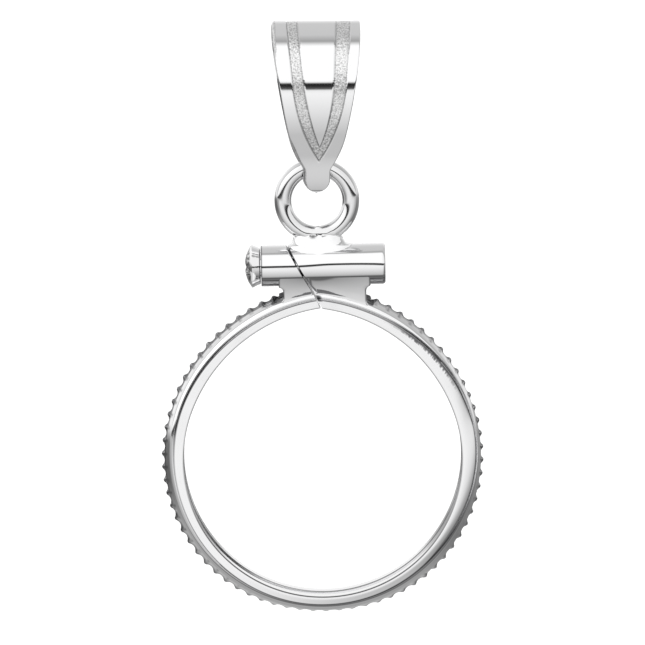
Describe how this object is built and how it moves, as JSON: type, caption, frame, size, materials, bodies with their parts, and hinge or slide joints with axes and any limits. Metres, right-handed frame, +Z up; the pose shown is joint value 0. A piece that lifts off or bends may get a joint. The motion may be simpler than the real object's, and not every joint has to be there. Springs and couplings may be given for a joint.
{
  "type": "coin bezel pendant",
  "caption": "Empty screw-top coin bezel pendant with a milled ring, a barrel clamp, a wire loop and a folded tapered bail.",
  "frame": {"origin": "the chain seat: on the highest line inside the bail, straight above the middle of the ring", "axes": "+Z up as it hangs, the front faces -Y, and +X is to the right as seen from the front"},
  "size_m": [0.0146, 0.0042, 0.027],
  "materials": {
    "polished_metal": "mirror-polished white gold, with a matte stippled V band on the bail's front"
  },
  "bodies": {
    "bail": {"bail": "polished_metal"},
    "bezel": {"bezel": "polished_metal"},
    "clamp_screw": {"clamp_screw": "polished_metal"}
  },
  "joints": [
    {"name": "bezel_swing", "type": "hinge", "parent": "bail", "child": "bezel", "pos_m": [0, 0, -0.00637], "axis": [0.9993, 0.0314, -0.0192], "range_deg": [-115, 115]},
    {"name": "screw_turn", "type": "hinge", "parent": "bezel", "child": "clamp_screw", "pos_m": [-0.00257, 0, -0.01072], "axis": [1, 0, 0], "continuous": true}
  ]
}
